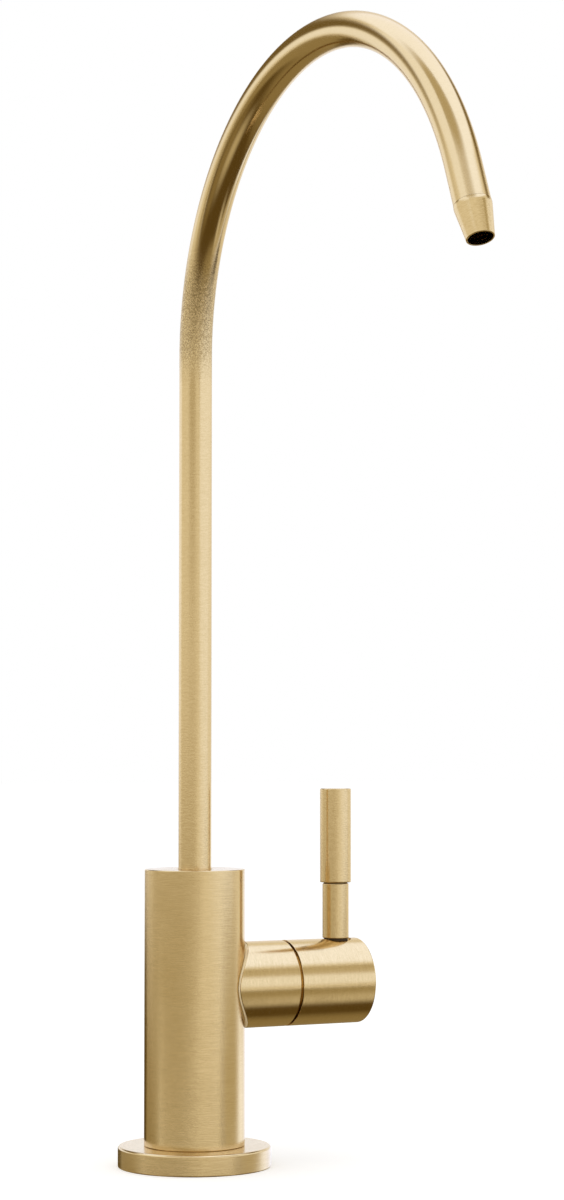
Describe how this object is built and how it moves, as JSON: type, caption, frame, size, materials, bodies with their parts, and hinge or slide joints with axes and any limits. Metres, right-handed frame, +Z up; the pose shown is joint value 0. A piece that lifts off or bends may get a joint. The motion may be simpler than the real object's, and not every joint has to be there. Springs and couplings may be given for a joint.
{
  "type": "drinking water faucet",
  "caption": "Slim single-lever drinking water faucet: swivelling gooseneck spout on a round body and deck flange, quarter-turn side valve, threaded shank with push-fit inlet.",
  "frame": {"origin": "centre of the flange's underside on the shank's axis, at the deck's surface", "axes": "+Z up along the body and shank, -Y where the spout points at rest, +X along the side valve out to the lever"},
  "size_m": [0.0752, 0.1824, 0.3932],
  "materials": {
    "satin_gold": "satin brushed pale gold",
    "plain_brass": "machined, not plated",
    "steel": "zinc plated, dull",
    "black_rubber": "matte moulded",
    "ceramic": "ground and lapped",
    "white_plastic": "moulded",
    "grey_plastic": "moulded"
  },
  "bodies": {
    "faucet_body": {"base_flange": "satin_gold", "deck_gasket": "black_rubber", "body_seal": "black_rubber", "valve_body": "satin_gold", "spout_clip": "steel", "valve_collar": "satin_gold", "cartridge_housing": "plain_brass", "cartridge_gasket": "black_rubber", "seat_seal": "black_rubber", "fixed_disc": "ceramic", "thrust_washer": "white_plastic", "collar_nut": "plain_brass", "mounting_shank": "plain_brass", "shank_seal": "black_rubber", "rubber_washer": "black_rubber", "steel_washer": "steel", "lock_washer": "steel", "mounting_nut": "steel", "inlet_adapter": "white_plastic", "adapter_washer": "black_rubber", "tube_seal": "black_rubber", "collet_ring": "white_plastic"},
    "spout": {"spout_tube": "satin_gold", "spout_insert": "plain_brass", "spout_seals": "black_rubber", "spout_slip_ring": "white_plastic", "outlet_nozzle": "satin_gold", "flow_straightener": "white_plastic"},
    "lever": {"handle_hub": "satin_gold", "lever_stud": "steel", "stem_washer": "black_rubber", "lever_stem": "satin_gold", "lever_grip": "satin_gold", "cartridge_spindle": "plain_brass", "moving_disc": "ceramic", "spindle_seal": "black_rubber", "spindle_clip": "steel"},
    "collet": {"collet": "grey_plastic"}
  },
  "joints": [
    {"name": "spout_swivel", "type": "hinge", "parent": "faucet_body", "child": "spout", "pos_m": [0, 0, 0.085], "axis": [0, 0, 1], "continuous": true},
    {"name": "lever_turn", "type": "hinge", "parent": "faucet_body", "child": "lever", "pos_m": [0.0464, 0, 0.0512], "axis": [1, 0, 0], "range_deg": [0, 90]},
    {"name": "collet_push", "type": "slide", "parent": "faucet_body", "child": "collet", "axis": [0, 0, 1], "range_m": [0, 0.0012]}
  ]
}
